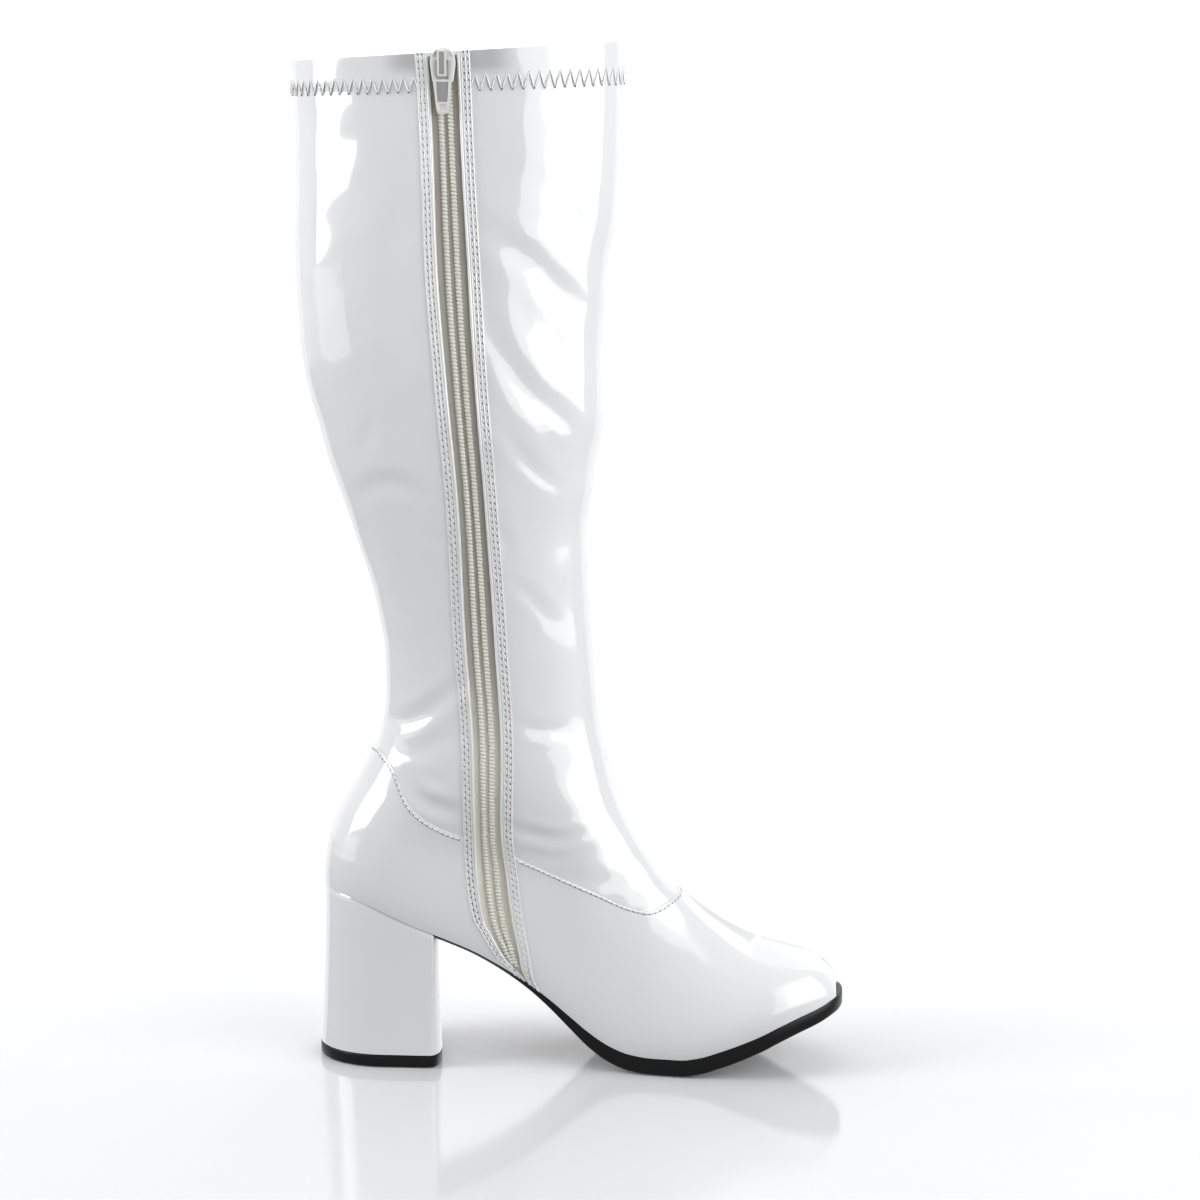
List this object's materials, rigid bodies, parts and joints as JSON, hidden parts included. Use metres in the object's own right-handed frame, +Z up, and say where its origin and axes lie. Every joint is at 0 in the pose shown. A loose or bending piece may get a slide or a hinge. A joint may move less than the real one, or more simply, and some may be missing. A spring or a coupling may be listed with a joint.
{
  "type": "go go boot",
  "caption": "Knee-high white patent go go boot for the left foot with a block heel, rounded toe, black outsole and full-length inner side zip.",
  "frame": {"origin": "middle of the ground face of the top piece under the heel", "axes": "+X toward the toe, +Y toward the outer side of this left boot, +Z up"},
  "size_m": [0.2521, 0.0935, 0.4685],
  "materials": {
    "white_patent": "high gloss white patent",
    "heel_cover": "high gloss white patent over a block",
    "sole_rubber": "satin black",
    "lift_rubber": "satin black",
    "insole_cloth": "matt lining cloth",
    "tape_cloth": "woven ivory tape",
    "coil_plastic": "ivory nylon",
    "slider_metal": "ivory paint"
  },
  "bodies": {
    "boot": {"upper": "white_patent", "outsole": "sole_rubber", "heel": "heel_cover", "heel_lift": "lift_rubber", "insole": "insole_cloth", "zip_tape": "tape_cloth", "zip_coil_rear": "coil_plastic", "zip_coil_front": "coil_plastic", "zip_slider": "slider_metal"},
    "pull": {"zip_pull": "slider_metal"}
  },
  "joints": [
    {"name": "pull_hinge", "type": "hinge", "parent": "boot", "child": "pull", "pos_m": [0.03631, -0.04591, 0.46134], "axis": [-1, 0, 0], "range_deg": [0, 150]}
  ]
}
